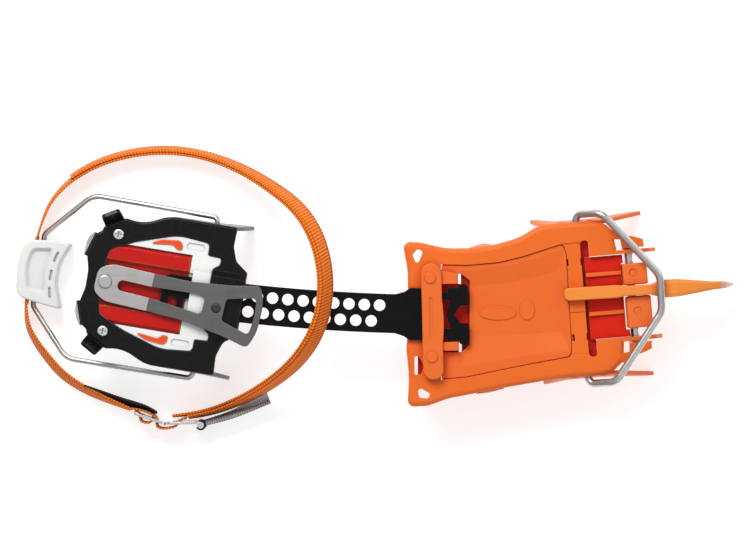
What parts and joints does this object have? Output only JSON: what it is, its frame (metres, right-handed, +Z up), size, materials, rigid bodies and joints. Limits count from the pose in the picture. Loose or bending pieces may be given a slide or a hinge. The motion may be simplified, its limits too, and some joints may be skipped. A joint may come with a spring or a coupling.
{
  "type": "crampon",
  "caption": "Mono-point climbing crampon: orange toe frame with wire bail, perforated linking bar, black heel frame with spring latch, wire bail with lever and buckled ankle strap.",
  "frame": {"origin": "on the ground under the middle of the metalwork's bounding box, which leaves out the strap and its buckle", "axes": "+X forward along the boot, towards the front point; +Y to the wearer's left; +Z up"},
  "size_m": [0.4705, 0.1849, 0.0651],
  "materials": {
    "orange_frame": "satin powder coat",
    "orange_forged": "satin powder coat, bare at the tip",
    "orange_panel": "fine moulded texture",
    "red_plate": "smooth moulded",
    "black_frame": "satin black coat",
    "bare_steel": "satin stainless",
    "white_shell": "satin moulded",
    "orange_insert": "satin moulded",
    "orange_webbing": "ribbed webbing",
    "dark_webbing": "soft webbing",
    "grey_webbing": "soft webbing"
  },
  "bodies": {
    "front_unit": {"toe_frame": "orange_frame", "toe_bridge": "orange_frame", "bridge_rivets": "orange_frame", "toe_panel": "orange_panel", "toe_antisnow": "red_plate", "front_point": "orange_forged", "spacer_left": "orange_panel", "spacer_right": "orange_panel", "cross_bolt": "bare_steel", "cross_nut": "bare_steel"},
    "toe_bail": {"toe_bail": "bare_steel"},
    "linking_bar": {"linking_bar": "black_frame"},
    "heel_unit": {"heel_frame": "black_frame", "heel_housing": "white_shell", "heel_antisnow": "red_plate", "heel_inserts": "orange_insert", "heel_screws": "bare_steel", "heel_nuts": "bare_steel", "latch_base": "bare_steel", "latch_rivet": "bare_steel", "ankle_strap": "orange_webbing", "strap_tail": "orange_webbing", "strap_rear": "orange_webbing", "strap_liner": "dark_webbing", "buckle_frame": "bare_steel", "buckle_ring": "bare_steel"},
    "latch": {"latch_leaf": "bare_steel", "latch_pin": "bare_steel"},
    "heel_bail": {"heel_bail": "bare_steel"},
    "heel_lever": {"heel_lever": "white_shell", "strap_pass": "orange_webbing"},
    "pull_tab": {"pull_tab": "grey_webbing"}
  },
  "joints": [
    {"name": "toe_bail_hinge", "type": "hinge", "parent": "front_unit", "child": "toe_bail", "pos_m": [0.1349, 0.001, 0.037], "axis": [0.0832, -0.9965, 0], "range_deg": [0, 120]},
    {"name": "bar_tilt", "type": "hinge", "parent": "front_unit", "child": "linking_bar", "pos_m": [0.037, -0.008, 0.0455], "axis": [0, 1, 0], "range_deg": [-1.5, 4]},
    {"name": "length_adjust", "type": "hinge", "parent": "linking_bar", "child": "heel_unit", "pos_m": [0.04568, 1.18112, 0.0455], "axis": [0, 0, 1], "range_deg": [-1.44, 1.44]},
    {"name": "latch_lift", "type": "hinge", "parent": "heel_unit", "child": "latch", "pos_m": [-0.14553, 0.00535, 0.0481], "axis": [-0.231, -0.9729, 0], "range_deg": [0, 12], "stiffness_Nm_per_rad": 0.5, "springref_deg": -5.73},
    {"name": "heel_bail_hinge", "type": "hinge", "parent": "heel_unit", "child": "heel_bail", "pos_m": [-0.11079, 0.00168, 0.036], "axis": [0.1642, 0.9864, 0], "range_deg": [0, 110]},
    {"name": "lever_turn", "type": "hinge", "parent": "heel_bail", "child": "heel_lever", "pos_m": [-0.22136, 0.02008, 0.0105], "axis": [-0.1642, -0.9864, 0], "range_deg": [0, 100]},
    {"name": "pull_tab_swing", "type": "hinge", "parent": "heel_unit", "child": "pull_tab", "pos_m": [-0.1145, -0.082, 0.0086], "axis": [0, 0, -1], "range_deg": [0, 65]}
  ]
}
